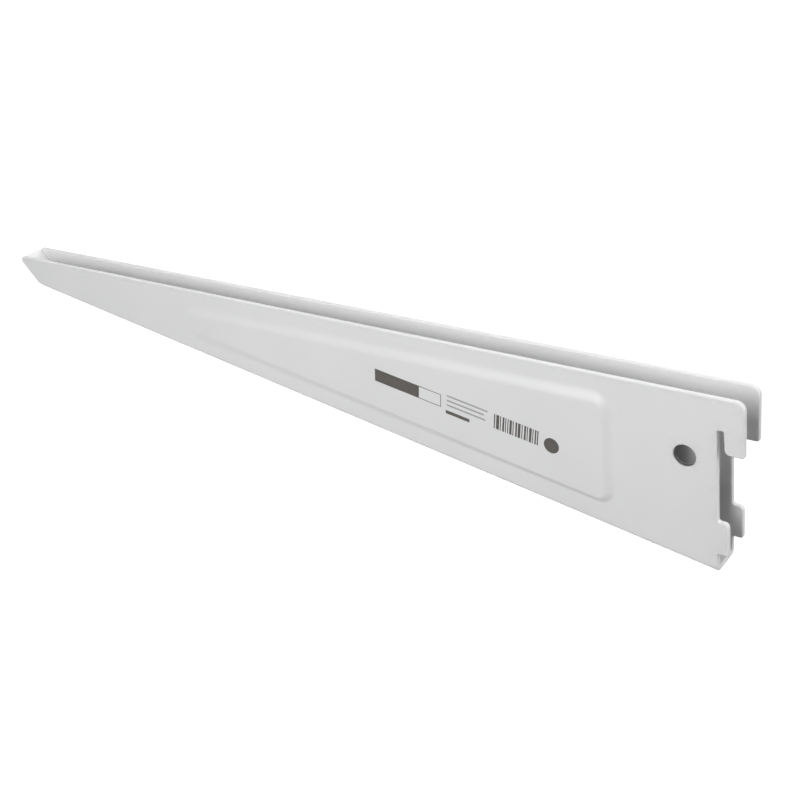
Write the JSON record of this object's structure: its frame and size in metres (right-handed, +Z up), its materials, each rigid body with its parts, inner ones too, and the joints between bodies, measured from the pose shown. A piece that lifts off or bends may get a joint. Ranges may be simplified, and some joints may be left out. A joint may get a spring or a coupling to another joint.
{
  "type": "slotted shelf bracket",
  "caption": "Folded sheet-steel shelf bracket, an open-topped tapering channel with a closed sloping nose, pressed side panels, and hooks and lugs at the heel for a slotted upright.",
  "frame": {"origin": "the point where the plane of the upright's face, the plane of the shelf's underside and the middle plane between the two walls meet, at the root of the hooks", "axes": "+X runs along the bracket towards the upright, +Z is up, and +Y is to the left when looking towards the upright"},
  "size_m": [0.3804, 0.0166, 0.07],
  "materials": {
    "powder_coat": "white powder coat over steel, satin, with a fine orange-peel texture"
  },
  "bodies": {
    "root": {"bracket": "powder_coat"}
  },
  "joints": []
}
